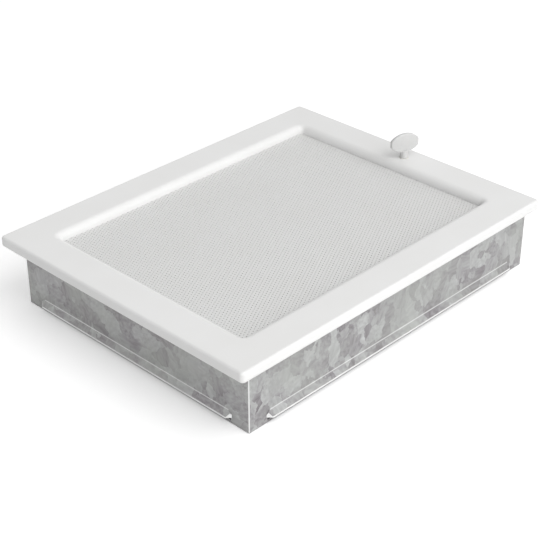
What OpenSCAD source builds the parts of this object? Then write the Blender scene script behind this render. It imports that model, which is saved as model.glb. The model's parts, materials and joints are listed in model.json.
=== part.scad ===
// Adjustable louvred vent grille for a wall opening: a pressed front frame with a mesh,
// ten louvre blades turned together by a thumb knob, and the wall box that it pushes into.
// The grille lies face up. Z = 0 is the rear edge of the wall box and X runs along the long side.

/* [Front frame] */
// Length of the front frame, along X
frame_len = 300; // [240:1:420]
// Width of the front frame, along Y
frame_wid = 236; // [180:1:320]
// Height of the front face above the rear edge of the wall box
face_z = 53; // [52:0.5:80]
// Thickness of the pressed front sheet
sheet = 1; // [0.8:0.1:1.4]
// Radius of the frame's outer corners, seen from the front
corner_r = 3; // [3:0.5:10]
// Height of the rolled rim
rim_h = 8; // [7:0.5:10]
// Radius of the rim where it meets the face
rim_top_r = 2; // [1.8:0.2:2.8]
// Radius of the rim where it turns under
rim_low_r = 2; // [1.6:0.1:2.5]
// How far the rim is turned under, from its outer face
rim_return = 3.6; // [3:0.1:5]
// Width of the flat flange, from the outer edge to the lip
flange_w = 23.6; // [22:0.2:40]
// Radius of the rounded lip into the opening
lip_r = 5.5; // [4:0.5:7]
// Straight part of the lip below its radius
lip_drop = 0.5; // [0.3:0.1:1.5]
// Corner radius of the opening, seen from the front
opening_r = 3; // [2:0.5:8]

/* [Wall box] */
// How far the wall box stands inside the frame's outline
box_inset = 9; // [8:0.5:12]
// Thickness of the galvanised sheet
box_t = 0.8; // [0.6:0.1:1.2]
// Outer radius of the box's corner bends
box_bend_r = 1.2; // [1.2:0.2:4]
// Sideways seat of the grille in the box, along X
seat_dx = 2.4; // [0:0.2:3]
// Sideways seat of the grille in the box, along Y
seat_dy = -2.4; // [-3:0.2:0]
// Distance from a box corner to the end of the half-louvred slit
slit_end = 15; // [10:1:30]
// Height of the band below the slit
band_h = 1.7; // [1.2:0.1:3]
// How far the band is set back
band_set = 0.9; // [0.5:0.1:1.5]
// Length over which the band is set back
band_ramp = 9; // [5:1:15]
// Height of the fold line above the slit
fold_z = 8.8; // [7.6:0.1:10]
// Height of the half-louvre's free edge
lip_z = 4; // [2.8:0.1:4.4]
// How far the half-louvre stands out
louvre_out = 3; // [2:0.1:4]
// Radius of the half-louvre's upper corners, seen from the side
louvre_r = 4; // [2:0.2:4.2]
// Diameter of the curl along the half-louvre's free edge
curl_d = 0.9; // [0.9:0.1:1.3]

/* [Mesh] */
// Thickness of the mesh panel
mesh_t = 0.8; // [0.6:0.1:1.2]
// Width of a strand between two diamonds
strand_w = 3; // [2:0.1:4]
// Diamonds along the long side
mesh_cols = 7; // [5:1:7]
// Diamonds along the short side
mesh_rows = 7; // [5:1:7]

/* [Louvre case] */
// Thickness of the folded case
case_t = 0.8; // [0.6:0.1:1.2]
// Gap between the lip and the case wall
case_gap = 0.6; // [0.4:0.1:1]
// Width of the case's outward flange
case_flange = 8; // [6:0.5:8.5]
// Height of the case's rear edge
case_z0 = 16; // [12:0.5:18]
// Depth of a mesh tab
tab_depth = 4; // [3:0.5:5]
// Length of a mesh tab
tab_len = 10; // [6:1:14]
// Spacing of the mesh tabs on the long sides
tab_spacing = 45; // [40:1:48]

/* [Louvre blades] */
// Thickness of a blade
blade_t = 0.8; // [0.6:0.1:1]
// Gap between the mesh and the open blades
mesh_gap = 0.8; // [0.7:0.1:1.5]
// How far a blade laps over the next
blade_lap = 2.6; // [2:0.1:3]
// Slope of the closed blades, in degrees
blade_tilt = 5; // [5:0.1:6]
// Gap between the outermost blades and the case
edge_gap = 1.2; // [1:0.1:1.8]
// Gap between a blade's end and the case
blade_end_gap = 1.5; // [1:0.1:3]
// Turn of the blades from closed to open, in degrees
blade_turn = 80; // [60:1:80]
// Diameter of the blade pivots
pivot_d = 3; // [2.5:0.1:3.2]
// Length of a pivot inside its rib
pivot_grip = 14; // [8:1:25]
// Number of the blade with a relief notch in its lapping edge
notch_blade = 3; // [1:1:9]
// Middle of the notch along the blade
notch_x = 98; // [-80:1:98]
// Length of the notch
notch_len = 40; // [10:1:50]
// Depth of the notch
notch_depth = 5.2; // [1:0.2:6]

/* [Linkage] */
// Length of the drive arms
arm_r = 5; // [4.6:0.1:5.2]
// Thickness of the drive arms
arm_t = 1.2; // [1:0.1:1.5]
// Gap between the case and the drive arms
arm_gap = 3.9; // [3.6:0.1:4.2]
// Diameter of the link pins
link_pin_d = 2.4; // [2:0.1:2.6]
// Thickness of the link bar
bar_t = 1; // [0.8:0.1:1.2]
// Height of the link bar's web
bar_h = 6; // [5:0.5:7]
// Height of the fork above the link pins
fork_rise = 3; // [2.9:0.1:3.2]
// Length of the fork along the bar
fork_len = 9; // [7:0.5:12]

/* [Knob] */
// Distance of the knob's axis from the case wall
knob_gap = 7; // [6.6:0.1:7.4]
// Place of the knob's axis along the short side
knob_y = -4.6; // [-6:0.1:6]
// Direction of the knob's plate when the blades are closed, in degrees
knob_angle = -23; // [-90:1:90]
// Turn of the knob from closed to open, in degrees
knob_turn = 90; // [80:1:100]
// Length of the knob's plate
plate_len = 22.8; // [16:0.1:26]
// Height of the knob's plate
plate_h = 15.4; // [12:0.1:20]
// Height of the plate's blunt ends
plate_end_h = 5.5; // [4:0.1:8]
// Thickness of the knob's plate
plate_t = 3; // [2.4:0.1:4]
// Height of the plate above the front face
plate_rise = 4.6; // [3:0.1:8]
// Diameter of the knob's neck
neck_d = 5.8; // [5.4:0.1:6]
// Outer diameter of the stem bush
bush_d = 7.2; // [7:0.1:8]
// Diameter of the spindle
spindle_d = 4; // [3.5:0.1:4.2]
// Diameter of the crank pin
crank_pin_d = 2; // [1.8:0.1:2.2]
// Thickness of the crank arm
crank_t = 1.5; // [1.2:0.1:1.8]

/* [Spring clips] */
// Thickness of a spring clip
clip_t = 0.6; // [0.4:0.1:0.8]
// Width of a spring clip
clip_w = 12; // [10:1:14]
// Distance of the spring clips from the middle
clip_x = 68; // [60:1:75]
// Diameter of the clip rivets
rivet_d = 3.2; // [2.8:0.1:4]
// Distance of the upper rivet below the mesh
rivet_drop = 3.2; // [3:0.1:4]
// Spacing of the two rivets
rivet_gap = 7; // [6.5:0.1:8]
// Sheet beyond the rivets, at either end of the clip's foot
clip_edge = 3.6; // [3:0.1:4]
// Height of the clip's sprung leg
clip_leg = 13; // [8:0.5:14]
// Height of the clip's turned-in tail
clip_tail = 6; // [3:0.5:7]
// How far the tail turns back in
clip_back = 3.5; // [2:0.1:4]

/* [Fits] */
// Radial clearance of a running fit
run_fit = 0.05; // [0.03:0.01:0.08]
// Clearance of a seated sheet or ring
seat_fit = 0.3; // [0.2:0.05:0.4]
// Clearance between flat moving neighbours
slide_gap = 0.3; // [0.2:0.05:0.4]
// Side clearance of the crank pin in its fork
fork_gap = 0.1; // [0.08:0.01:0.15]

/* [Hidden] */
blade_count = 10;
$fn = 48;

white = [0.93, 0.93, 0.92];
zinc = [0.68, 0.71, 0.73];
steel = [0.55, 0.56, 0.58];
nylon = [0.88, 0.88, 0.85];
cut = 2;

under_z = face_z - sheet;
lip_end_z = face_z - lip_r - lip_drop;
mesh_z0 = lip_end_z - mesh_t;
open_x = frame_len / 2 - flange_w - lip_r;
open_y = frame_wid / 2 - flange_w - lip_r;
crease_x = open_x + lip_r;
crease_y = open_y + lip_r;

case_x = crease_x + case_gap;
case_y = crease_y + case_gap;
wall_x = case_x + case_t;
wall_y = case_y + case_t;

box_x = frame_len / 2 - box_inset;
box_y = frame_wid / 2 - box_inset;

pitch = (2 * case_y - 2 * edge_gap - blade_lap) / blade_count;
blade_half = (pitch + blade_lap) / 2;
rib_r = pivot_d / 2 + run_fit;
axis_z = mesh_z0 - blade_half - mesh_gap;

arm_x = wall_x + arm_gap;
bar_x = arm_x + arm_t + slide_gap;
arm_lean = blade_turn / 2;
arm_dy = arm_r * sin(arm_lean);
arm_dz = arm_r * cos(arm_lean);

knob_x = wall_x + knob_gap;
crank_r = arm_dy / sin(knob_turn / 2);
crank_dx = crank_r * cos(knob_turn / 2);
fork_z = axis_z + arm_dz + fork_rise;
crank_tip_r = crank_pin_d / 2 + 0.9;
crank_hub_r = spindle_d / 2 + 2.2;
collar_h = 1.2;
bush_z0 = under_z - collar_h;
washer_h = 0.5;
ring_h = 0.8;
crank_z = bush_z0 - 0.1 - washer_h - ring_h - 1 - crank_t;

function blade_y(i) = (i - (blade_count + 1) / 2) * pitch;

// Flat outlines

module rounded_rect(l, w, r) {
    square([l - 2 * r, w], center = true);
    square([l, w - 2 * r], center = true);
    for (x = [-1, 1], y = [-1, 1])
        translate([x * (l / 2 - r), y * (w / 2 - r)]) circle(r);
}

// Half of a slab's edge, from the middle of its corner out to radius r
module edge_section(r, top_r, low_r, h) {
    intersection() {
        square([r, h]);
        union() {
            translate([0, low_r]) square([r, h - top_r - low_r]);
            square([r - low_r, h / 2]);
            translate([0, h / 2]) square([r - top_r, h / 2]);
            translate([r - top_r, h - top_r]) circle(top_r);
            translate([r - low_r, low_r]) circle(low_r);
        }
    }
}

// Slab with rounded corners and rounded upper and lower edges
module rolled_slab(l, w, r, top_r, low_r, h) {
    translate([-l / 2 + r, -w / 2 + r, 0]) cube([l - 2 * r, w - 2 * r, h]);
    for (s = [-1, 1]) {
        scale_x(s) translate([l / 2 - r, 0, 0]) rotate([90, 0, 0])
            linear_extrude(w - 2 * r, center = true) edge_section(r, top_r, low_r, h);
        scale_y(s) translate([0, w / 2 - r, 0]) rotate([90, 0, 90])
            linear_extrude(l - 2 * r, center = true) edge_section(r, top_r, low_r, h);
    }
    for (x = [-1, 1], y = [-1, 1])
        translate([x * (l / 2 - r), y * (w / 2 - r), 0])
            rotate_extrude() edge_section(r, top_r, low_r, h);
}

// Mirrored copy for a negative sign, the shape itself for a positive one
module scale_x(s) { if (s < 0) mirror([1, 0, 0]) children(); else children(); }
module scale_y(s) { if (s < 0) mirror([0, 1, 0]) children(); else children(); }

// Bar along X with a section drawn as Y across and Z up
module along_x(x0, length) {
    translate([x0, 0, 0]) rotate([90, 0, 90]) linear_extrude(length) children();
}

module rod_x(x0, length, d) {
    translate([x0, 0, 0]) rotate([0, 90, 0]) cylinder(h = length, d = d);
}

module ring(z0, h, outer_d, inner_d) {
    translate([0, 0, z0]) difference() {
        cylinder(h = h, d = outer_d);
        translate([0, 0, -cut]) cylinder(h = h + 2 * cut, d = inner_d);
    }
}

// Sheet strip of thickness t whose middle follows the points
module folded_strip(points, t) {
    for (k = [0:len(points) - 2]) {
        run = points[k + 1] - points[k];
        translate(points[k]) rotate(atan2(run[1], run[0])) translate([0, -t / 2]) square([norm(run), t]);
    }
    for (p = points) translate(p) circle(d = t);
}

// Front frame

module lip_section() {
    translate([opening_r, lip_end_z]) square([sheet, lip_drop]);
    translate([opening_r + lip_r, face_z - lip_r]) intersection() {
        difference() {
            circle(lip_r);
            circle(lip_r - sheet);
        }
        translate([-lip_r, 0]) square(lip_r);
    }
    translate([opening_r + lip_r, under_z]) square([0.5, sheet]);
}

module lip_ring() {
    for (s = [-1, 1]) {
        scale_x(s) translate([open_x - opening_r, 0, 0]) rotate([90, 0, 0])
            linear_extrude(2 * (open_y - opening_r), center = true) lip_section();
        scale_y(s) translate([0, open_y - opening_r, 0]) rotate([90, 0, 90])
            linear_extrude(2 * (open_x - opening_r), center = true) lip_section();
    }
    for (x = [-1, 1], y = [-1, 1])
        scale_x(x) scale_y(y) translate([open_x - opening_r, open_y - opening_r, 0])
            rotate_extrude(angle = 90) lip_section();
}

module front_frame() {
    color(white) {
        difference() {
            translate([0, 0, face_z - rim_h])
                rolled_slab(frame_len, frame_wid, corner_r, rim_top_r, rim_low_r, rim_h);
            translate([0, 0, face_z - rim_h + sheet])
                rolled_slab(frame_len - 2 * sheet, frame_wid - 2 * sheet, corner_r - sheet,
                    rim_top_r - sheet, rim_low_r - sheet, rim_h - 2 * sheet);
            translate([0, 0, face_z - rim_h - cut]) linear_extrude(sheet + 2 * cut)
                rounded_rect(frame_len - 2 * rim_return, frame_wid - 2 * rim_return, corner_r - rim_return / 2);
            translate([0, 0, face_z - rim_h - cut]) linear_extrude(rim_h + 2 * cut)
                rounded_rect(2 * crease_x, 2 * crease_y, opening_r + lip_r);
            translate([knob_x, knob_y, face_z - sheet - cut]) cylinder(h = sheet + 2 * cut, d = bush_d + 2 * run_fit);
        }
        lip_ring();
    }
}

// Wall box

// Outline of a half-louvre seen from its side, with X along it and Y up
module louvre_outline(length, inset, low) {
    half = length / 2 - inset;
    top = fold_z - inset;
    r = louvre_r - inset;
    translate([-half, low]) square([2 * half, top - r - low]);
    translate([r - half, low]) square([2 * (half - r), top - low]);
    for (s = [-1, 1]) translate([s * (half - r), top - r]) circle(r);
}

// The outline carried through from the box's inside to beyond the half-louvre
module louvre_column(length, inset, low, depth) {
    translate([0, depth, 0]) rotate([90, 0, 0]) linear_extrude(depth + louvre_out + cut)
        louvre_outline(length, inset, low);
}

// Plan of the half-louvre: its ends run out at 45 degrees
module louvre_plan(length, end_wall, depth) {
    half = length / 2 - end_wall;
    linear_extrude(fold_z + cut)
        polygon([[-half, depth], [-half, 0], [louvre_out - half, -louvre_out], [half - louvre_out, -louvre_out],
            [half, 0], [half, depth]]);
}

// Sheet fold that stands out over a slit, for a side whose outer face is at Y = 0 and faces -Y
module half_louvre(length) {
    drop = fold_z - lip_z;
    shift = box_t * norm([louvre_out, drop]) / drop;
    difference() {
        intersection() {
            along_x(-length / 2, length)
                polygon([[box_t, fold_z], [0, fold_z], [-louvre_out, lip_z], [box_t, lip_z]]);
            louvre_plan(length, 0, box_t);
            louvre_column(length, 0, lip_z, box_t);
        }
        intersection() {
            along_x(-length / 2, length)
                polygon([[box_t + cut, fold_z - box_t], [shift + louvre_out * box_t / drop, fold_z - box_t],
                    [shift - louvre_out, lip_z], [shift - louvre_out - louvre_out * cut / drop, lip_z - cut],
                    [box_t + cut, lip_z - cut]]);
            louvre_plan(length, box_t * sqrt(2), box_t + cut);
            louvre_column(length, box_t, lip_z - cut, box_t + cut);
        }
    }
    along_x(louvre_out - length / 2, length - 2 * louvre_out)
        translate([curl_d / 3 - louvre_out, lip_z]) circle(d = curl_d);
}

// Window behind the half-louvre, and the room for the set-back band
module slit_cut(length) {
    louvre_column(length, box_t, band_h, box_t + cut);
    translate([-length / 2, -cut, -cut]) cube([length, box_t + 2 * cut, band_h + cut]);
}

module set_back_band(length) {
    half = length / 2;
    grip = 0.6;
    linear_extrude(band_h)
        polygon([[-half - grip, 0], [-half, 0], [band_ramp - half, band_set], [half - band_ramp, band_set],
            [half, 0], [half + grip, 0], [half + grip, box_t], [half, box_t],
            [half - band_ramp, band_set + box_t], [band_ramp - half, band_set + box_t], [-half, box_t],
            [-half - grip, box_t]]);
}

// Turns a side drawn at Y = 0 into each of the four sides of the box
module box_side(k) {
    rotate([0, 0, 90 * k]) translate([0, k % 2 == 0 ? -box_y : -box_x, 0]) children();
}

function slit_len(k) = 2 * (k % 2 == 0 ? box_x : box_y) - 2 * slit_end;

module wall_box() {
    color(zinc) translate([seat_dx, seat_dy, 0]) {
        difference() {
            linear_extrude(under_z) difference() {
                rounded_rect(2 * box_x, 2 * box_y, box_bend_r);
                rounded_rect(2 * (box_x - box_t), 2 * (box_y - box_t), box_bend_r - box_t);
            }
            for (k = [0:3]) box_side(k) slit_cut(slit_len(k));
        }
        for (k = [0:3]) box_side(k) {
            half_louvre(slit_len(k));
            set_back_band(slit_len(k));
        }
    }
}

// Louvre case

tab_xs = [for (k = [-2:2]) k * tab_spacing];
tab_ys = [-pitch, pitch];

// Tab folded in from a wall whose inner face is at Y = 0, with the wall on the +Y side
module mesh_tab() {
    translate([-tab_len / 2, -tab_depth, mesh_z0 - case_t]) cube([tab_len, tab_depth + case_t / 2, case_t]);
}

module tab_window() {
    translate([-tab_len / 2 - 0.4, -cut, mesh_z0 - case_t - tab_depth])
        cube([tab_len + 0.8, case_t + 2 * cut, tab_depth]);
}

module each_tab() {
    for (s = [0, 1], x = tab_xs) rotate([0, 0, 180 * s]) translate([x, case_y, 0]) children();
    for (s = [0, 1], y = tab_ys) rotate([0, 0, 180 * s]) translate([case_x, y, 0]) rotate([0, 0, -90]) children();
}

module louvre_case() {
    color(white) {
        difference() {
            union() {
                translate([0, 0, case_z0]) linear_extrude(under_z - case_z0)
                    rounded_rect(2 * wall_x, 2 * wall_y, case_t + 1);
                translate([0, 0, under_z - case_t]) linear_extrude(case_t)
                    rounded_rect(2 * (wall_x + case_flange), 2 * (wall_y + case_flange), 4);
            }
            translate([0, 0, case_z0 - cut]) linear_extrude(face_z) rounded_rect(2 * case_x, 2 * case_y, 1);
            for (i = [1:blade_count]) translate([0, blade_y(i), axis_z])
                rod_x(-frame_len / 2, frame_len, pivot_d + 2 * run_fit);
            for (x = [-1, 1] * clip_x, s = [-1, 1], z = rivet_zs)
                translate([x, s * case_y, z]) rotate([90, 0, 0])
                    cylinder(h = 4 * case_t, d = rivet_d + 2 * run_fit, center = true);
            translate([knob_x, knob_y, under_z - case_t - cut])
                cylinder(h = case_t + 2 * cut, d = collar_d + 2 * seat_fit);
            each_tab() tab_window();
        }
        each_tab() mesh_tab();
    }
}

// Mesh panel: staggered diamonds, with the long way along X

module mesh_panel() {
    long_way = 2 * open_x / mesh_cols;
    short_way = 2 * open_y / mesh_rows;
    shrink = 1 - strand_w * norm([long_way, short_way]) / (long_way * short_way);
    dx = shrink * long_way / 2;
    dy = shrink * short_way / 2;
    color(white) translate([0, 0, mesh_z0]) linear_extrude(mesh_t) difference() {
        rounded_rect(2 * (case_x - seat_fit), 2 * (case_y - seat_fit), 1);
        intersection() {
            square([2 * open_x - strand_w / 2, 2 * open_y - strand_w / 2], center = true);
            for (row = [0:2 * mesh_rows], col = [0:2 * mesh_cols]) if ((row + col) % 2 == 0)
                translate([(col / 2) * long_way - open_x, (row / 2) * short_way - open_y])
                    polygon([[dx, 0], [0, dy], [-dx, 0], [0, -dy]]);
        }
    }
}

// Louvre blades and their pivots

module blade_section() {
    difference() {
        union() {
            square([2 * blade_half, blade_t], center = true);
            circle(rib_r + blade_t);
        }
        circle(rib_r);
        translate([-4 * rib_r, -8 * rib_r - blade_t / 2]) square(8 * rib_r);
    }
}

module blade(i) {
    color(white) translate([0, blade_y(i), axis_z]) rotate([blade_tilt, 0, 0]) difference() {
        along_x(-(case_x - blade_end_gap), 2 * (case_x - blade_end_gap)) blade_section();
        if (i == notch_blade) translate([notch_x - notch_len / 2, blade_half - notch_depth, -cut])
            cube([notch_len, notch_depth + cut, 2 * cut]);
    }
}

module pivot_pins(i) {
    inner_x = case_x - blade_end_gap - pivot_grip;
    color(steel) translate([0, blade_y(i), axis_z]) {
        rod_x(-(wall_x + 1.6), wall_x + 1.6 - inner_x, pivot_d);
        rod_x(inner_x, arm_x + arm_t - inner_x, pivot_d);
    }
}

module drive_arm(i) {
    tip = [arm_dy, arm_dz];
    tip_r = link_pin_d / 2 + 1.2;
    color(steel) translate([0, blade_y(i), axis_z]) along_x(arm_x, arm_t) difference() {
        union() {
            circle(pivot_d / 2 + 1.7);
            translate(tip) circle(tip_r);
            rotate(90 - arm_lean) translate([0, -tip_r]) square([arm_r, 2 * tip_r]);
        }
        circle(d = pivot_d);
        translate(tip) circle(d = link_pin_d + 2 * run_fit);
    }
}

// Pins riveted in the link bar, on which the drive arms turn
module link_pins() {
    inner_x = arm_x - 0.4;
    color(steel) for (i = [1:blade_count]) translate([0, blade_y(i) + arm_dy, axis_z + arm_dz]) {
        rod_x(inner_x, bar_x + bar_t + 0.3 - inner_x, link_pin_d);
        rod_x(bar_x + bar_t, 0.8, link_pin_d + 1.8);
    }
}

module shaft_spacers() {
    color(nylon) for (i = [1:blade_count]) translate([wall_x, blade_y(i), axis_z]) rotate([0, 90, 0])
        ring(slide_gap / 3, arm_gap - slide_gap, pivot_d + 3, pivot_d + 2 * run_fit);
}

// Link bar: a web with a bore at each link pin, and a fork folded in over the arms

module link_bar() {
    end_y = blade_y(blade_count) + bar_h / 2 + 1;
    fork_y = knob_y + arm_dy;
    slot_w = crank_pin_d + 2 * fork_gap;
    color(steel) difference() {
        union() {
            translate([0, arm_dy, axis_z + arm_dz]) along_x(bar_x, bar_t)
                rounded_rect(2 * end_y, bar_h, 2);
            translate([bar_x, fork_y - fork_len / 2, axis_z + arm_dz])
                cube([bar_t, fork_len, fork_rise + bar_t]);
            translate([wall_x + 2.5 * slide_gap, fork_y - fork_len / 2, fork_z])
                cube([bar_x + bar_t - wall_x - 2.5 * slide_gap, fork_len, bar_t]);
        }
        for (i = [1:blade_count]) translate([0, blade_y(i) + arm_dy, axis_z + arm_dz])
            rod_x(bar_x - cut, bar_t + 2 * cut, link_pin_d);
        translate([wall_x, fork_y - slot_w / 2, fork_z - cut]) cube([bar_x - wall_x, slot_w, bar_t + 2 * cut]);
    }
}

// Knob

module at_knob() { translate([knob_x, knob_y, 0]) children(); }

// Lens-shaped outline with blunt ends
module plate_outline(inset) {
    half = plate_len / 2 - inset;
    rise = plate_h / 2 - inset;
    sag = rise - plate_end_h / 2 + inset / 2;
    arc_r = (half * half + sag * sag) / (2 * sag);
    intersection() {
        square([2 * half, plate_h], center = true);
        translate([0, rise - arc_r]) circle(arc_r, $fn = 96);
        translate([0, arc_r - rise]) circle(arc_r, $fn = 96);
    }
}

module knob_grip() {
    bevel = 0.6;
    color(white) at_knob() difference() {
        union() {
            rotate([0, 0, knob_angle]) translate([0, 0, face_z + plate_rise + plate_h / 2]) rotate([90, 0, 0])
                hull() {
                    linear_extrude(plate_t, center = true) plate_outline(bevel);
                    linear_extrude(plate_t - 2 * bevel, center = true) plate_outline(0);
                }
            translate([0, 0, bush_z0]) cylinder(h = face_z + plate_rise + 1.5 - bush_z0, d = neck_d);
        }
        translate([0, 0, bush_z0 - cut]) cylinder(h = face_z + plate_rise - bush_z0 + cut - 1, d = spindle_d);
    }
}

module knob_spindle() {
    top_z = face_z + plate_rise - 1;
    color(steel) at_knob() translate([0, 0, crank_z - ring_h - 0.6])
        cylinder(h = top_z - crank_z + ring_h + 0.6, d = spindle_d);
}

collar_d = bush_d + 3;

module stem_bush() {
    color(nylon) at_knob() difference() {
        union() {
            translate([0, 0, bush_z0]) cylinder(h = collar_h, d = collar_d);
            translate([0, 0, bush_z0]) cylinder(h = face_z + 0.3 - bush_z0, d = bush_d);
        }
        translate([0, 0, bush_z0 - cut]) cylinder(h = face_z, d = neck_d + 2 * run_fit);
    }
}

module friction_washer() {
    color(steel) at_knob() ring(bush_z0 - 0.1 - washer_h, washer_h, collar_d - 1, spindle_d + 0.2);
}

module spindle_clip() {
    color(steel) at_knob() ring(bush_z0 - 0.1 - washer_h - ring_h, ring_h, spindle_d + 3.4, spindle_d);
}

module crank_arm() {
    color(steel) at_knob() translate([0, 0, crank_z]) linear_extrude(crank_t) difference() {
        union() {
            circle(crank_hub_r);
            translate([-crank_dx, arm_dy]) circle(crank_tip_r);
            rotate(180 - knob_turn / 2) translate([0, -crank_tip_r]) square([crank_r, 2 * crank_tip_r]);
        }
        circle(d = spindle_d);
        translate([-crank_dx, arm_dy]) circle(d = crank_pin_d);
    }
}

module crank_pin() {
    low_z = fork_z - 0.7;
    color(steel) at_knob() translate([-crank_dx, arm_dy, low_z])
        cylinder(h = crank_z + crank_t - low_z, d = crank_pin_d);
}

module crank_ring() {
    color(steel) at_knob() ring(crank_z - ring_h, ring_h, spindle_d + 3, spindle_d);
}

// Spring clips and their rivets

rivet_zs = [mesh_z0 - rivet_drop - rivet_gap, mesh_z0 - rivet_drop];
clip_signs = [[-1, -1], [1, -1], [-1, 1], [1, 1]];

module spring_clip(k) {
    side = clip_signs[k - 1];
    reach = box_y - box_t + side[1] * seat_dy - wall_y - seat_fit - clip_t / 2;
    low_z = rivet_zs[0] - clip_edge;
    color(steel) difference() {
        translate([side[0] * clip_x - clip_w / 2, 0, 0]) scale_y(side[1]) translate([0, wall_y, 0])
            along_x(0, clip_w) folded_strip([[clip_t / 2, rivet_zs[1] + clip_edge], [clip_t / 2, low_z],
                [reach, low_z - clip_leg], [reach - clip_back, low_z - clip_leg - clip_tail]], clip_t);
        for (z = rivet_zs) translate([side[0] * clip_x, side[1] * wall_y, z]) rotate([90, 0, 0])
            cylinder(h = 4, d = rivet_d + 2 * run_fit, center = true);
    }
}

module clip_rivets() {
    color(steel) for (side = clip_signs, z = rivet_zs)
        translate([side[0] * clip_x, 0, z]) scale_y(side[1]) rotate([-90, 0, 0]) {
            translate([0, 0, case_y - 0.7]) cylinder(h = 0.7, d = rivet_d + 1.8);
            translate([0, 0, case_y - 0.7]) cylinder(h = case_t + clip_t + 1.4, d = rivet_d);
            translate([0, 0, wall_y + clip_t]) cylinder(h = 1.1, d = rivet_d + 2.6);
        }
}

wall_box();
front_frame();
louvre_case();
mesh_panel();
for (i = [1:blade_count]) {
    blade(i);
    pivot_pins(i);
    drive_arm(i);
}
shaft_spacers();
link_bar();
link_pins();
knob_grip();
knob_spindle();
stem_bush();
friction_washer();
spindle_clip();
crank_arm();
crank_pin();
crank_ring();
for (k = [1:4]) spring_clip(k);
clip_rivets();
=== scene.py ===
"""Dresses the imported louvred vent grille: powder-coated front, fine expanded mesh, galvanised
wall box and moulded thumb knob, on a pale floor under soft studio light.

All lengths are in millimetres until MM turns them into Blender's metres. The frame is the
record's own: +X along the long side towards the knob, +Z out of the front face.
"""

import json
import logging
import math
from dataclasses import dataclass, field
from enum import Enum

import bmesh
import bpy
from mathutils import Matrix, Vector

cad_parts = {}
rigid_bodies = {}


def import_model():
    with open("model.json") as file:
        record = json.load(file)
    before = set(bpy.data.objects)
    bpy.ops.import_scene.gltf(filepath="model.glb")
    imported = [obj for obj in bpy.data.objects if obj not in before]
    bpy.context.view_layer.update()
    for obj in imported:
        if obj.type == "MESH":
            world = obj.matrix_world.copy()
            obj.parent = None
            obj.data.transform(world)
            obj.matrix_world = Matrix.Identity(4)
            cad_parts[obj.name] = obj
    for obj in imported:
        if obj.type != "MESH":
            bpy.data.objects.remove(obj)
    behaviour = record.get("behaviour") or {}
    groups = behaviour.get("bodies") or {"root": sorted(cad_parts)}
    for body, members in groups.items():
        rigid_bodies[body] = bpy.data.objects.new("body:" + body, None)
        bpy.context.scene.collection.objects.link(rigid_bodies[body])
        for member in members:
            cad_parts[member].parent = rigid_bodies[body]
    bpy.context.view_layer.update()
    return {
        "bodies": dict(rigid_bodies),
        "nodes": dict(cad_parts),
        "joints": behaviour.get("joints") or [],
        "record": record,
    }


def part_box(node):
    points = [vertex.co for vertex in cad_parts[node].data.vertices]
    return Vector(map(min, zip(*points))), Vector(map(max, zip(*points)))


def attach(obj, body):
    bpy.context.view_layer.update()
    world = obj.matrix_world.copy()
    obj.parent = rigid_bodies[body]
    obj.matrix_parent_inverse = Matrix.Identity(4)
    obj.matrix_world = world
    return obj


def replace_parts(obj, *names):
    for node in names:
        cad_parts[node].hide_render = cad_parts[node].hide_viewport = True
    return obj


MM = 0.001
LOG = logging.getLogger("vent_grille")

Triple = tuple[float, float, float]
Socket = bpy.types.NodeSocket

# Middle of the wall box and half of its outer length and width, without the half-louvres.
BOX_MIDDLE = (2.4, -2.4)
BOX_HALF = (141.0, 109.0)
WHITE = (1.0, 1.0, 1.0, 1.0)


class Slot(Enum):
    """The record's material slots that pieces take their finish from."""

    WHITE_COAT = "white_coat"
    ZINC_SHEET = "zinc_sheet"
    ZINC_STEEL = "zinc_steel"
    SPRING_STEEL = "spring_steel"
    NYLON = "nylon"
    WHITE_PLASTIC = "white_plastic"


class NodeGraph:
    """A node tree, with short calls to add and join nodes."""

    def __init__(self, tree: bpy.types.NodeTree) -> None:
        """Takes the tree that the nodes go into."""
        self.tree = tree

    def node(self, kind: str, **values: object) -> bpy.types.Node:
        """Adds a node and sets its properties and input defaults.

        Args:
            kind: the node's type name without the leading ShaderNode.
            values: property names, or input names with underscores for spaces.

        Returns:
            The new node.
        """
        made = self.tree.nodes.new("ShaderNode" + kind)
        for name, value in values.items():
            if hasattr(made, name):
                setattr(made, name, value)
            else:
                made.inputs[name.replace("_", " ")].default_value = value
        return made

    def join(self, source: Socket, target: Socket) -> None:
        """Links one socket to another."""
        self.tree.links.new(source, target)

    def feed(self, made: bpy.types.Node, *values: Socket | float | Triple) -> bpy.types.Node:
        """Fills a node's inputs, from the first on.

        Args:
            made: the node.
            values: a socket to link or a value to set, for each input.

        Returns:
            The same node.
        """
        for place, value in enumerate(values):
            if isinstance(value, Socket):
                self.join(value, made.inputs[place])
            else:
                made.inputs[place].default_value = value
        return made

    def math(self, operation: str, *values: Socket | float) -> Socket:
        """Adds a math node.

        Args:
            operation: the node's operation.
            values: a socket or a number for each input.

        Returns:
            The result socket.
        """
        return self.feed(self.node("Math", operation=operation), *values).outputs["Value"]

    def vector_math(self, operation: str, *values: Socket | Triple) -> Socket:
        """Adds a vector math node.

        Args:
            operation: the node's operation.
            values: a socket or a vector for each input.

        Returns:
            The vector socket.
        """
        return self.feed(self.node("VectorMath", operation=operation), *values).outputs["Vector"]


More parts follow.
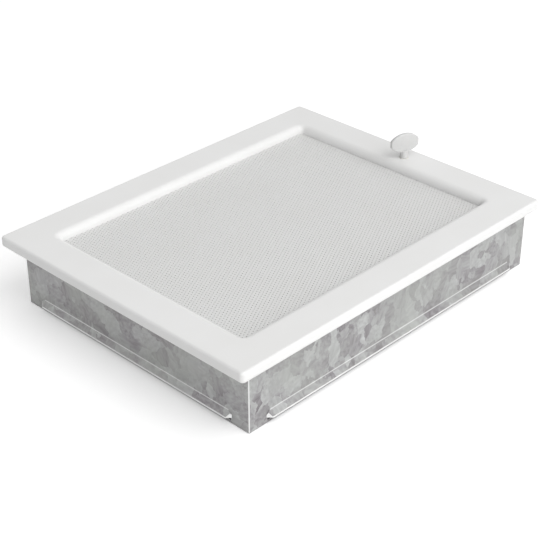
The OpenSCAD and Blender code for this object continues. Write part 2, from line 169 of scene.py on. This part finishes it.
class ShaderGraph(NodeGraph):
    """A material's nodes, round one Principled shader.

    Attributes:
        NOISE_SPAN: the range that nearly all values of a noise lie in.
    """

    NOISE_SPAN = (0.3, 0.7)

    def __init__(self, name: str) -> None:
        """Starts a node material.

        Args:
            name: the material's name.
        """
        self.material = bpy.data.materials.new(name)
        self.material.use_nodes = True
        super().__init__(self.material.node_tree)
        self.shader = self.tree.nodes["Principled BSDF"]
        self.coords = self.node("TexCoord").outputs["Object"]

    def mapped(self, source: Socket, stretch: Triple, turn: Triple = (0.0, 0.0, 0.0)) -> Socket:
        """Coordinates that are stretched and turned.

        Args:
            source: the coordinates.
            stretch: the factors along X, Y and Z.
            turn: the angles about X, Y and Z, in radians.

        Returns:
            The vector socket.
        """
        made = self.node("Mapping")
        made.inputs["Scale"].default_value = stretch
        made.inputs["Rotation"].default_value = turn
        self.join(source, made.inputs["Vector"])
        return made.outputs["Vector"]

    def noise(self, size_mm: float, detail: float, vector: Socket | None = None) -> Socket:
        """Noise whose features are about the given size.

        Args:
            size_mm: the size of one feature.
            detail: the number of octaves.
            vector: the coordinates, or None for the object's own.

        Returns:
            The factor socket, from 0 to 1.
        """
        made = self.node("TexNoise", Scale=1.0 / (size_mm * MM), Detail=detail)
        self.join(vector or self.coords, made.inputs["Vector"])
        return made.outputs["Fac"]

    def span(self, source: Socket, low: float, high: float) -> Socket:
        """Stretches a noise to run from low to high.

        Args:
            source: the noise's factor socket.
            low: the result where the noise is lowest.
            high: the result where it is highest.

        Returns:
            The result socket.
        """
        lowest, highest = self.NOISE_SPAN
        made = self.node(
            "MapRange", clamp=True, From_Min=lowest, From_Max=highest, To_Min=low, To_Max=high
        )
        self.join(source, made.inputs["Value"])
        return made.outputs["Result"]

    def blend(self, factor: Socket, first: Socket | Triple, second: Triple) -> Socket:
        """Mixes two colours by a factor.

        Args:
            factor: the mixing socket.
            first: colour socket or linear colour at 0.
            second: linear colour at 1.

        Returns:
            The colour socket.
        """
        made = self.node("Mix", data_type="RGBA")
        # The colour sockets have the same names as the node's number sockets, so they go by place.
        start, end, mixed = made.inputs[6], made.inputs[7], made.outputs[2]
        if isinstance(first, Socket):
            self.join(first, start)
        else:
            start.default_value = (*first, 1.0)
        end.default_value = (*second, 1.0)
        self.join(factor, made.inputs["Factor"])
        return mixed

    def bump(self, height: Socket, depth_mm: float, strength: float) -> None:
        """Roughens the surface by a height field.

        Args:
            height: the height socket, from 0 to 1.
            depth_mm: how deep the relief is.
            strength: how much of it shows.
        """
        made = self.node("Bump", Strength=strength, Distance=depth_mm * MM)
        self.join(height, made.inputs["Height"])
        self.join(made.outputs["Normal"], self.shader.inputs["Normal"])

    def colour(self, source: Socket) -> None:
        """Links a colour to the surface."""
        self.join(source, self.shader.inputs["Base Color"])

    def roughen(self, source: Socket, middle: float, less: float, more: float) -> None:
        """Lets a noise vary the roughness.

        Args:
            source: the noise's factor socket.
            middle: the roughness.
            less: how far below it the noise goes.
            more: how far above it the noise goes.
        """
        self.join(self.span(source, middle - less, middle + more), self.shader.inputs["Roughness"])

    def set_surface(self, **values: object) -> None:
        """Sets constant inputs of the Principled shader, with underscores for spaces."""
        for name, value in values.items():
            self.shader.inputs[name.replace("_", " ")].default_value = value


@dataclass(frozen=True)
class PowderCoat:
    """White satin powder coat on pressed sheet, with a fine orange-peel surface."""

    name: str = "satin_powder_coat"
    shade: Triple = (0.795, 0.795, 0.79)
    shade_warm: Triple = (0.775, 0.773, 0.765)
    roughness: float = 0.42
    cloud_mm: float = 38.0
    peel_mm: float = 0.9
    peel_depth_mm: float = 0.012
    ior: float = 1.5

    def build(self) -> bpy.types.Material:
        """Builds the node material.

        Returns:
            The material.
        """
        graph = ShaderGraph(self.name)
        cloud = graph.noise(self.cloud_mm, detail=2.0)
        graph.colour(graph.blend(graph.span(cloud, 0.0, 1.0), self.shade, self.shade_warm))
        fine = graph.noise(self.peel_mm, detail=3.0)
        graph.roughen(fine, self.roughness, less=0.05, more=0.06)
        graph.bump(fine, self.peel_depth_mm, strength=0.5)
        graph.set_surface(IOR=self.ior)
        return graph.material


@dataclass(frozen=True)
class Galvanised:
    """Hot-dip zinc on sheet steel, with feathery crystals that turn from patch to patch, and
    painted highlight lines along its bends.

    Attributes:
        dark, light: the greys of the darkest and the lightest crystal.
        tint: the greenish grey that clouds of cloud_mm mix in, up to cloud_share.
        painted_highlight: the pale zinc colour painted as a highlight on the corners, folds, ends
            and curled edges.
        tilt: how far a crystal's surface leans.
        crystal_mm: the size of a patch; crystal_share is how much of its grey it sets alone.
        crystal_turn, crystal_stretch: the turn and the stretch of the patches' pattern.
        border_mm, border_shift: the size and the reach of the raggedness of their borders.
        feather_mm: the width of a streak; feather_share is how much of the grey it sets.
        feather_axis, feather_stretch: the axis that the streaks turn about and their shape.
        slit_end, fold_z, louvre_out: how far from the corner the half-louvres end, the height
            of their fold and how far they stand out, as in the part's source.
        corner_line, edge_line: how far the painted highlight lines reach from the corners, and from
            the
        folds and curled edges.
        fold_strength, fold_inset: the strength of the painted highlight along the fold and how far
            it stops short.
        face_gap, end_gap: how far out of the flat face, and before the half-louvre's end, the
            painted
        highlight on its end begins.
    """

    name: str = "galvanised_spangle"
    dark: Triple = (0.18, 0.16, 0.175)
    light: Triple = (0.50, 0.51, 0.505)
    tint: Triple = (0.385, 0.40, 0.375)
    painted_highlight: Triple = (0.80, 0.805, 0.80)
    metallic: float = 0.45
    roughness: float = 0.36
    tilt: float = 0.27
    cloud_mm: float = 30.0
    cloud_share: float = 0.5

    crystal_mm: float = 10.5
    crystal_share: float = 0.62
    crystal_turn: Triple = (0.55, 0.95, 0.3)
    crystal_stretch: Triple = (1.3, 0.85, 0.95)
    border_mm: float = 4.0
    border_shift: float = 4.5

    feather_mm: float = 2.4
    feather_share: tuple[float, float] = (-0.05, 0.43)
    feather_axis: Triple = (0.62, 0.55, 0.56)
    feather_stretch: Triple = (1.0, 0.22, 1.0)

    slit_end: float = 15.0
    fold_z: float = 8.8
    louvre_out: float = 3.0
    corner_line: float = 0.65
    edge_line: float = 0.35
    fold_strength: float = 0.6
    fold_inset: float = 3.0
    face_gap: float = 0.05
    end_gap: float = 0.2

    def build(self) -> bpy.types.Material:
        """Builds the node material.

        Returns:
            The material.
        """
        graph = ShaderGraph(self.name)
        crystal = self.crystals(graph)
        parts = graph.node("SeparateColor")
        graph.join(crystal, parts.inputs["Color"])
        feather = self.feathers(graph, parts.outputs["Red"])
        streaks = graph.span(feather, *self.feather_share)
        facet = graph.math("MULTIPLY_ADD", parts.outputs["Green"], self.crystal_share, streaks)
        grey = graph.blend(facet, self.dark, self.light)
        cloud = graph.span(graph.noise(self.cloud_mm, detail=1.0), 0.0, self.cloud_share)
        tinted = graph.blend(cloud, grey, self.tint)
        # Painted highlight: a pale zinc colour on the box's corners and the half-louvres' folds,
        # ends and curled edges.
        graph.colour(graph.blend(self.painted_highlight_mask(graph), tinted, self.painted_highlight))
        graph.roughen(feather, self.roughness, less=0.08, more=0.10)
        self.tilt_crystals(graph, crystal)
        graph.set_surface(Metallic=self.metallic)
        return graph.material

    def crystals(self, graph: ShaderGraph) -> Socket:
        """Patches with ragged borders, each with its own random colour.

        Args:
            graph: the material's nodes.

        Returns:
            The random colour socket.
        """
        wander = graph.node("TexNoise", Scale=1.0 / (self.border_mm * MM), Detail=3.0)
        graph.join(graph.coords, wander.inputs["Vector"])
        shift = (self.border_shift * MM,) * 3
        ragged = graph.vector_math("MULTIPLY_ADD", wander.outputs["Color"], shift, graph.coords)
        slanted = graph.mapped(ragged, self.crystal_stretch, self.crystal_turn)
        crystal = graph.node(
            "TexVoronoi", distance="MANHATTAN", Scale=1.0 / (self.crystal_mm * MM), Randomness=1.0
        )
        graph.join(slanted, crystal.inputs["Vector"])
        return crystal.outputs["Color"]

    def feathers(self, graph: ShaderGraph, turn: Socket) -> Socket:
        """Fine streaks that run another way in each patch.

        Args:
            graph: the material's nodes.
            turn: the patch's random number.

        Returns:
            The streaks' factor socket.
        """
        turned = graph.node("VectorRotate", rotation_type="AXIS_ANGLE")
        turned.inputs["Axis"].default_value = self.feather_axis
        graph.join(graph.math("MULTIPLY", turn, 2.0 * math.pi), turned.inputs["Angle"])
        graph.join(graph.coords, turned.inputs["Vector"])
        stretched = graph.mapped(turned.outputs["Vector"], self.feather_stretch)
        return graph.noise(self.feather_mm, detail=4.0, vector=stretched)

    def tilt_crystals(self, graph: ShaderGraph, crystal: Socket) -> None:
        """Leans each patch's surface a little, so that it takes the light in a way of its own.

        Args:
            graph: the material's nodes.
            crystal: the patch's random colour.
        """
        centred = graph.vector_math("SUBTRACT", crystal, (0.5,) * 3)
        normal = graph.node("NewGeometry").outputs["Normal"]
        lean = graph.vector_math("MULTIPLY_ADD", centred, (self.tilt,) * 3, normal)
        graph.join(graph.vector_math("NORMALIZE", lean), graph.shader.inputs["Normal"])

    def painted_highlight_mask(self, graph: ShaderGraph) -> Socket:
        """1 where a highlight is painted on the zinc, in place of the light that the bends catch.

        These are the box's corners and the folds, ends and curled edges of its half-louvres.

        Args:
            graph: the material's nodes.

        Returns:
            The mask socket.
        """
        place = graph.node("SeparateXYZ")
        graph.join(graph.coords, place.inputs["Vector"])
        beyond = []
        for axis, middle, half in zip("XY", BOX_MIDDLE, BOX_HALF):
            away = graph.math("ABSOLUTE", graph.math("SUBTRACT", place.outputs[axis], middle * MM))
            beyond.append(graph.math("SUBTRACT", away, half * MM))
        nearest = graph.math("MINIMUM", *beyond)
        furthest = graph.math("MAXIMUM", *beyond)
        corner = graph.math("GREATER_THAN", nearest, -self.corner_line * MM)
        curl = graph.math("GREATER_THAN", furthest, (self.louvre_out - self.edge_line) * MM)
        outside = graph.math("GREATER_THAN", furthest, self.face_gap * MM)
        end_reach = (-self.slit_end - self.end_gap) * MM
        at_end = graph.math("GREATER_THAN", graph.math("ADD", *beyond), end_reach)
        ends = graph.math("MULTIPLY", outside, at_end)
        above_fold = graph.math("SUBTRACT", place.outputs["Z"], self.fold_z * MM)
        off_fold = graph.math("ABSOLUTE", above_fold)
        on_fold = graph.math("LESS_THAN", off_fold, self.edge_line * MM)
        fold = graph.math("MULTIPLY", on_fold, self.fold_strength)
        between = graph.math("LESS_THAN", nearest, (-self.slit_end - self.fold_inset) * MM)
        fold = graph.math("MULTIPLY", fold, between)
        edges = graph.math("MAXIMUM", corner, curl)
        return graph.math("MAXIMUM", edges, graph.math("MAXIMUM", ends, fold))


@dataclass(frozen=True)
class PlatedSteel:
    """Zinc-plated or plain turned steel, with fine drawn lines."""

    name: str = "plated_steel"
    shade: Triple = (0.55, 0.56, 0.57)
    shade_dark: Triple = (0.46, 0.465, 0.47)
    roughness: float = 0.38
    line_mm: float = 0.35
    line_stretch: Triple = (0.15, 1.0, 1.0)
    line_depth_mm: float = 0.006
    metallic: float = 0.95

    def build(self) -> bpy.types.Material:
        """Builds the node material.

        Returns:
            The material.
        """
        graph = ShaderGraph(self.name)
        drawn = graph.mapped(graph.coords, self.line_stretch)
        lines = graph.noise(self.line_mm, detail=3.0, vector=drawn)
        graph.colour(graph.blend(graph.span(lines, 0.0, 1.0), self.shade, self.shade_dark))
        graph.roughen(lines, self.roughness, less=0.06, more=0.08)
        graph.bump(lines, self.line_depth_mm, strength=0.4)
        graph.set_surface(Metallic=self.metallic)
        return graph.material


@dataclass(frozen=True)
class MouldedPlastic:
    """Moulded plastic with a faint grain and a soft gloss."""

    name: str = "moulded_white"
    shade: Triple = (0.63, 0.63, 0.625)
    shade_low: Triple = (0.61, 0.61, 0.605)
    roughness: float = 0.3
    grain_mm: float = 0.5
    grain_depth_mm: float = 0.008
    cloud_mm: float = 6.0
    ior: float = 1.49

    def build(self) -> bpy.types.Material:
        """Builds the node material.

        Returns:
            The material.
        """
        graph = ShaderGraph(self.name)
        grain = graph.noise(self.grain_mm, detail=2.0)
        cloud = graph.noise(self.cloud_mm, detail=2.0)
        graph.colour(graph.blend(graph.span(cloud, 0.0, 1.0), self.shade, self.shade_low))
        graph.roughen(grain, self.roughness, less=0.04, more=0.05)
        graph.bump(grain, self.grain_depth_mm, strength=0.35)
        graph.set_surface(IOR=self.ior)
        return graph.material


# A darker copy of the white powder coat for the expanded mesh: painted shade, in place of the shade
# among its fine strands.
SHADED_MESH_COAT = PowderCoat(
    name="shaded_mesh_coat", shade=(0.70, 0.70, 0.695), shade_warm=(0.69, 0.688, 0.68), roughness=0.5
)
SPRING_STEEL = PlatedSteel(
    name="spring_steel", shade=(0.33, 0.335, 0.35), shade_dark=(0.26, 0.265, 0.28), roughness=0.34
)
NYLON = MouldedPlastic(
    name="natural_nylon", shade=(0.74, 0.735, 0.69), shade_low=(0.69, 0.685, 0.64), roughness=0.5
)


@dataclass
class Finishes:
    """One material for each slot of the record."""

    by_slot: dict[Slot, bpy.types.Material] = field(default_factory=dict)

    def build(self) -> None:
        """Builds every slot's material."""
        self.by_slot = {
            Slot.WHITE_COAT: PowderCoat().build(),
            Slot.ZINC_SHEET: Galvanised().build(),
            Slot.ZINC_STEEL: PlatedSteel().build(),
            Slot.SPRING_STEEL: SPRING_STEEL.build(),
            Slot.NYLON: NYLON.build(),
            Slot.WHITE_PLASTIC: MouldedPlastic().build(),
        }

    def dress(self, piece: bpy.types.Object, slot: Slot) -> None:
        """Gives a piece one slot's material.

        Args:
            piece: the mesh object.
            slot: the slot whose finish it takes.
        """
        piece.data.materials.clear()
        piece.data.materials.append(self.by_slot[slot])

    def dress_cad(self, frame: dict) -> None:
        """Gives each CAD node the finish of its own slot in the record.
        """
        for entry in frame["record"]["subparts"]:
            self.dress(frame["nodes"][entry["node"]], Slot(entry["material_slot"]))


def piece_from(mesh: bmesh.types.BMesh, name: str, smooth: bool = False) -> bpy.types.Object:
    """Turns a finished bmesh, drawn in millimetres, into an object at the origin.

    Args:
        mesh: the shape; it is freed.
        name: the object's name.
        smooth: True for smooth shading.

    Returns:
        The new object, linked to the scene.
    """
    bmesh.ops.scale(mesh, vec=Vector((MM, MM, MM)), verts=mesh.verts)
    for face in mesh.faces:
        face.smooth = smooth
    data = bpy.data.meshes.new(name)
    mesh.to_mesh(data)
    mesh.free()
    made = bpy.data.objects.new(name, data)
    bpy.context.scene.collection.objects.link(made)
    return made


def thicken(mesh: bmesh.types.BMesh, way: Triple) -> None:
    """Gives a flat sheet its thickness and turns all faces outwards.

    Args:
        mesh: the sheet.
        way: how far it grows along X, Y and Z.
    """
    grown = bmesh.ops.extrude_face_region(mesh, geom=mesh.faces[:], use_keep_orig=True)
    raised = [item for item in grown["geom"] if isinstance(item, bmesh.types.BMVert)]
    bmesh.ops.translate(mesh, vec=way, verts=raised)
    bmesh.ops.recalc_face_normals(mesh, faces=mesh.faces)


def round_edges(mesh: bmesh.types.BMesh, angle: float, radius: float, steps: int) -> None:
    """Rounds the edges whose faces meet at more than an angle.

    Args:
        mesh: the shape.
        angle: the angle in radians.
        radius: the width of the rounding.
        steps: its number of segments.
    """
    sharp = [edge for edge in mesh.edges if edge.calc_face_angle(0.0) > angle]
    bmesh.ops.bevel(
        mesh, geom=sharp, offset=radius, affect="EDGES", segments=steps, profile=0.5,
        material=-1, clamp_overlap=True,
    )


@dataclass
class ExpandedMesh:
    """The fine expanded-metal panel behind the opening: staggered diamonds cut from one sheet.

    Attributes:
        long_way, short_way: the diamonds' pitch along the panel's long and short sides.
        strand: the width of the metal between two openings.
        sheet: the panel's thickness.
        half_len, half_wid: half of the panel's length and width.
        open_len, open_wid: half of the part of it that has openings.
        whole_share: the share of a diamond's area from which it counts as whole.
        spare_rows: rows of diamonds laid beyond the panel's corners before it is cut out.
        weld: the tolerance of the cuts.
    """

    long_way: float = 4.65
    short_way: float = 2.5
    strand: float = 1.5
    sheet: float = 0.55
    half_len: float = 126.6
    half_wid: float = 94.6
    open_len: float = 123.4
    open_wid: float = 91.4
    whole_share: float = 0.98
    spare_rows: int = 4
    weld: float = 1e-5

    def build(self, low_z: float) -> bpy.types.Object:
        """Builds the panel with its lower face at the given height.

        Args:
            low_z: the height of the lower face.

        Returns:
            The panel.
        """
        mesh = bmesh.new()
        reach = math.ceil(self.half_len / self.long_way + self.half_wid / self.short_way)
        count = 2 * reach + self.spare_rows
        bmesh.ops.create_grid(mesh, x_segments=count, y_segments=count, size=count / 2)
        diagonal = Matrix.Rotation(math.pi / 4, 3, "Z")
        bmesh.ops.rotate(mesh, cent=(0, 0, 0), matrix=diagonal, verts=mesh.verts)
        stretch = Vector((self.long_way / math.sqrt(2), self.short_way / math.sqrt(2), 1.0))
        bmesh.ops.scale(mesh, vec=stretch, verts=mesh.verts)
        for normal, half in (((1, 0, 0), self.half_len), ((0, 1, 0), self.half_wid)):
            for side in (1, -1):
                out = Vector(normal) * side
                bmesh.ops.bisect_plane(
                    mesh, geom=mesh.verts[:] + mesh.edges[:] + mesh.faces[:], dist=self.weld,
                    plane_co=out * half, plane_no=out, clear_outer=True,
                )
        openings = [face for face in mesh.faces if self.is_opening(face)]
        bmesh.ops.inset_individual(
            mesh, faces=openings, thickness=self.strand / 2, use_even_offset=True
        )
        bmesh.ops.delete(mesh, geom=openings, context="FACES_ONLY")
        loose = [vert for vert in mesh.verts if not vert.link_faces]
        bmesh.ops.delete(mesh, geom=loose, context="VERTS")
        bmesh.ops.translate(mesh, vec=(0, 0, low_z), verts=mesh.verts)
        thicken(mesh, (0.0, 0.0, self.sheet))
        return piece_from(mesh, "expanded_mesh")

    def is_opening(self, face: bmesh.types.BMFace) -> bool:
        """Tells whether a face becomes an opening.

        Args:
            face: one diamond, or what the cut has left of it.

        Returns:
            True for a whole diamond in the open part of the panel.
        """
        middle = face.calc_center_median()
        whole = face.calc_area() > self.whole_share * self.long_way * self.short_way / 2
        return whole and abs(middle.x) < self.open_len and abs(middle.y) < self.open_wid


@dataclass
class ThumbKnob:
    """The moulded lens-shaped knob on its round neck.

    Attributes:
        axis: where the knob's axis crosses the front face.
        face_z: the height of the front face.
        turn_deg: how far the plate is turned from the long side.
        plate_len, plate_h, plate_t: the plate's length, height and thickness.
        end_h: the plate's height at its two ends.
        rise: how far the plate stands clear of the front face.
        neck_d, neck_low: the neck's diameter and the height of its lower end.
        neck_in: how far the neck runs into the plate.
        edge_r, rim_r: the rounding of the plate's edges and of the neck's rims.
        arc_steps, edge_steps, neck_sides, rim_steps: the segments of each curve.
        edge_angle, rim_angle: the angles in radians that are rounded.
        tolerance: how far from the plate's ends a point still counts as lying at them.
    """

    axis: tuple[float, float] = (134.8, -4.6)
    face_z: float = 53.0
    turn_deg: float = -23.0
    plate_len: float = 22.8
    plate_h: float = 15.4
    end_h: float = 5.5
    plate_t: float = 3.0
    rise: float = 4.6
    neck_d: float = 5.8
    neck_low: float = 50.8
    neck_in: float = 1.5
    edge_r: float = 0.9
    rim_r: float = 0.3
    arc_steps: int = 28
    edge_steps: int = 4
    neck_sides: int = 40
    rim_steps: int = 2
    edge_angle: float = 0.6
    rim_angle: float = 1.0
    tolerance: float = 0.01

    def build(self) -> bpy.types.Object:
        """Builds the plate and its neck as one piece.

        Returns:
            The knob.
        """
        mesh = bmesh.new()
        self.add_plate(mesh)
        self.add_neck(mesh)
        return piece_from(mesh, "thumb_knob", smooth=True)

    def add_plate(self, mesh: bmesh.types.BMesh) -> None:
        """Adds the upright plate, from one flat outline that is extruded and rounded.

        Args:
            mesh: the knob's mesh.
        """
        part = bmesh.new()
        half, rise, sag = self.plate_len / 2, self.plate_h / 2, (self.plate_h - self.end_h) / 2
        arc_r = (half * half + sag * sag) / (2 * sag)
        sweep = math.asin(half / arc_r)
        start = part.verts.new((-half, 0.0, rise - sag))
        bmesh.ops.spin(
            part, geom=[start], cent=(0, 0, rise - arc_r), axis=(0, 1, 0), angle=2 * sweep,
            steps=self.arc_steps, use_merge=False,
        )
        bmesh.ops.duplicate(part, geom=part.verts[:] + part.edges[:])
        lower = part.verts[:][len(part.verts) // 2:]
        bmesh.ops.scale(part, vec=(1, 1, -1), verts=lower)
        for end in (-half, half):
            at_end = [vert for vert in part.verts if abs(vert.co.x - end) < self.tolerance]
            part.edges.new(sorted(at_end, key=lambda vert: vert.co.z))
        bmesh.ops.contextual_create(part, geom=part.edges[:])
        bmesh.ops.translate(part, vec=(0, -self.plate_t / 2, 0), verts=part.verts)
        thicken(part, (0.0, self.plate_t, 0.0))
        round_edges(part, self.edge_angle, self.edge_r, self.edge_steps)
        turned = Matrix.Rotation(math.radians(self.turn_deg), 3, "Z")
        bmesh.ops.rotate(part, cent=(0, 0, 0), matrix=turned, verts=part.verts)
        centre = (*self.axis, self.face_z + self.rise + self.plate_h / 2)
        bmesh.ops.translate(part, vec=centre, verts=part.verts)
        self.merge_into(mesh, part)

    def add_neck(self, mesh: bmesh.types.BMesh) -> None:
        """Adds the round neck up to the plate.

        Args:
            mesh: the knob's mesh.
        """
        part = bmesh.new()
        high = self.face_z + self.rise + self.neck_in
        radius = self.neck_d / 2
        bmesh.ops.create_cone(
            part, cap_ends=True, segments=self.neck_sides, radius1=radius, radius2=radius,
            depth=high - self.neck_low,
        )
        round_edges(part, self.rim_angle, self.rim_r, self.rim_steps)
        bmesh.ops.translate(part, vec=(*self.axis, (high + self.neck_low) / 2), verts=part.verts)
        self.merge_into(mesh, part)

    def merge_into(self, mesh: bmesh.types.BMesh, part: bmesh.types.BMesh) -> None:
        """Adds a finished part to the knob's mesh and frees it.

        Args:
            mesh: the knob's mesh.
            part: the part to add.
        """
        carrier = bpy.data.meshes.new("carrier")
        part.to_mesh(carrier)
        part.free()
        mesh.from_mesh(carrier)
        bpy.data.meshes.remove(carrier)


@dataclass(frozen=True)
class Lamp:
    """A square soft lamp: its place and side in millimetres, and its power in watts."""

    name: str
    place: Triple
    side: float
    watts: float

    def build(self, aim: Vector) -> None:
        """Adds the lamp to the scene.

        Args:
            aim: the point that it shines at, in metres.
        """
        data = bpy.data.lights.new(self.name, "AREA")
        data.shape, data.size, data.energy = "SQUARE", self.side * MM, self.watts
        lamp = bpy.data.objects.new(self.name, data)
        at = Vector(self.place) * MM
        lamp.location = at
        lamp.rotation_mode = "QUATERNION"
        lamp.rotation_quaternion = (aim - at).to_track_quat("-Z", "Y")
        bpy.context.scene.collection.objects.link(lamp)


@dataclass
class Studio:
    """Pale floor, soft lamps and the camera that took the photograph.

    Attributes:
        camera_at: the camera's place.
        azimuth_deg, elevation_deg, roll_deg: which way it looks, from +Y towards +X, how far
            down, and its lean about that line.
        lens_mm, sensor_mm: its focal length and the width of its sensor.
        sight_m: the nearest and furthest that it sees, in metres.
        lamps, lamp_aim: the lamps and the point that they all shine at.
        room_light, room_dark: the strength of the room's light on its light and dark sides.
        dark_side, dusk: the way to the dark side, and where along it the light falls off.
        floor_half, floor_drop: half of the floor's side and how far it lies below the part.
        floor_albedo, floor_roughness: the floor's grey and roughness.
        floor_glow: the strength that brings the lit floor to white.
    """

    camera_at: Triple = (-611.3, -591.5, 522.2)
    azimuth_deg: float = 45.66
    elevation_deg: float = 31.06
    roll_deg: float = -0.23
    lens_mm: float = 92.446
    sensor_mm: float = 36.0
    sight_m: tuple[float, float] = (0.01, 50.0)

    lamps: tuple[Lamp, ...] = (
        Lamp("key_lamp", (150.0, -1350.0, 1950.0), side=1800.0, watts=22.5),
        Lamp("wall_lamp", (-250.0, -1600.0, 240.0), side=800.0, watts=5.0),
        Lamp("corner_lamp", (-1250.0, -700.0, 320.0), side=700.0, watts=2.6),
    )
    lamp_aim: Triple = (0.0, 0.0, 30.0)
    room_light: float = 0.93
    room_dark: float = 0.17
    dark_side: Triple = (-0.73, 0.66, 0.08)
    dusk: tuple[float, float] = (-0.5, 0.95)

    floor_half: float = 4000.0
    floor_drop: float = 0.4
    floor_albedo: float = 0.8
    floor_roughness: float = 0.9
    floor_glow: float = 0.36

    def add_camera(self) -> None:
        """Creates the camera at the photograph's place and angle."""
        around, up = math.radians(self.azimuth_deg), math.radians(self.elevation_deg)
        ahead = Vector(
            (math.cos(up) * math.sin(around), math.cos(up) * math.cos(around), -math.sin(up))
        )
        right = Vector((math.cos(around), -math.sin(around), 0.0))
        above = right.cross(ahead)
        tilt = math.radians(self.roll_deg)
        right, above = (
            math.cos(tilt) * right + math.sin(tilt) * above,
            -math.sin(tilt) * right + math.cos(tilt) * above,
        )
        data = bpy.data.cameras.new("camera")
        data.sensor_fit = "HORIZONTAL"
        data.sensor_width, data.lens = self.sensor_mm, self.lens_mm
        data.clip_start, data.clip_end = self.sight_m
        camera = bpy.data.objects.new("camera", data)
        turned = Matrix((right, above, -ahead)).transposed().to_4x4()
        camera.matrix_world = Matrix.Translation(Vector(self.camera_at) * MM) @ turned
        bpy.context.scene.collection.objects.link(camera)
        bpy.context.scene.camera = camera

    def seen_rays(self, graph: NodeGraph) -> Socket:
        """1 for rays that show the background: the camera's own, mirrored and passed on ones.

        Args:
            graph: the nodes that ask.

        Returns:
            The factor socket.
        """
        path = graph.node("LightPath").outputs
        mirrored = graph.math("MAXIMUM", path["Is Camera Ray"], path["Is Glossy Ray"])
        return graph.math("MAXIMUM", mirrored, path["Is Transmission Ray"])

    def add_lights(self) -> None:
        """Adds the soft lamps and the light of the room, which falls off to one side."""
        for lamp in self.lamps:
            lamp.build(Vector(self.lamp_aim) * MM)
        world = bpy.data.worlds.new("studio")
        bpy.context.scene.world = world
        world.use_nodes = True
        graph = NodeGraph(world.node_tree)
        around = graph.node("TexCoord").outputs["Generated"]
        lean = graph.feed(graph.node("VectorMath", operation="DOT_PRODUCT"), around, self.dark_side)
        begins, ends = self.dusk
        falloff = graph.node(
            "MapRange", interpolation_type="SMOOTHSTEP", From_Min=begins, From_Max=ends,
            To_Min=self.room_light, To_Max=self.room_dark,
        )
        graph.join(lean.outputs["Value"], falloff.inputs["Value"])
        room = graph.tree.nodes["Background"]
        room.inputs["Color"].default_value = WHITE
        graph.join(falloff.outputs["Result"], room.inputs["Strength"])
        seen = graph.node("Background", Color=WHITE, Strength=1.0)
        both = (room.outputs["Background"], seen.outputs["Background"])
        mix = graph.feed(graph.node("MixShader"), self.seen_rays(graph), *both)
        graph.join(mix.outputs["Shader"], graph.tree.nodes["World Output"].inputs["Surface"])

    def beside_box(self, graph: ShaderGraph) -> Socket:
        """The floor's glow: nothing inside the wall box, where the floor lies in the dark.

        Args:
            graph: the floor material's nodes.

        Returns:
            The glow's strength socket.
        """
        place = graph.node("SeparateXYZ")
        graph.join(graph.coords, place.inputs["Vector"])
        inside = [
            graph.math("COMPARE", place.outputs[axis], middle * MM, half * MM)
            for axis, middle, half in zip("XY", BOX_MIDDLE, BOX_HALF)
        ]
        both = graph.math("MULTIPLY", *inside)
        return graph.math("MULTIPLY_ADD", both, -self.floor_glow, self.floor_glow)

    def add_floor(self) -> None:
        """Adds the pale floor, which goes to white and keeps the object's shadow."""
        mesh = bmesh.new()
        bmesh.ops.create_grid(mesh, x_segments=1, y_segments=1, size=self.floor_half)
        bmesh.ops.translate(mesh, vec=(0, 0, -self.floor_drop), verts=mesh.verts)
        floor = piece_from(mesh, "floor")
        graph = ShaderGraph("pale_floor")
        grey = (self.floor_albedo, self.floor_albedo, self.floor_albedo, 1.0)
        graph.set_surface(Base_Color=grey, Roughness=self.floor_roughness)
        glow = graph.node("Emission")
        graph.join(self.beside_box(graph), glow.inputs["Strength"])
        dark = graph.node("Emission", Strength=0.0)
        both = (dark.outputs["Emission"], glow.outputs["Emission"])
        seen = graph.feed(graph.node("MixShader"), self.seen_rays(graph), *both).outputs["Shader"]
        lit = graph.feed(graph.node("AddShader"), graph.shader.outputs["BSDF"], seen)
        graph.join(lit.outputs["Shader"], graph.tree.nodes["Material Output"].inputs["Surface"])
        floor.data.materials.append(graph.material)

    def build(self) -> None:
        """Builds the camera, the lamps and the floor."""
        self.add_camera()
        self.add_lights()
        self.add_floor()
        bpy.context.scene.view_settings.view_transform = "Standard"


def main() -> None:
    """Builds the finishes, the dressed pieces and the studio, and notes the sizes."""
    logging.basicConfig(level=logging.INFO, format="%(name)s: %(message)s")
    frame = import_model()

    Studio().build()
    LOG.info("studio is set")

    finishes = Finishes()
    finishes.build()
    finishes.dress_cad(frame)

    low_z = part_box("mesh_panel")[1].z / MM - ExpandedMesh.sheet
    panel = ExpandedMesh().build(low_z)
    # The mesh takes the darker copy of the white coat, which is painted shade.
    panel.data.materials.append(SHADED_MESH_COAT.build())
    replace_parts(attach(panel, "housing"), "mesh_panel")
    LOG.info("expanded mesh: %d faces", len(panel.data.polygons))

    knob = ThumbKnob().build()
    finishes.dress(knob, Slot.WHITE_PLASTIC)
    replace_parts(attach(knob, "knob"), "knob_grip")
    LOG.info("thumb knob: %d faces", len(knob.data.polygons))


if __name__ == "__main__":
    main()
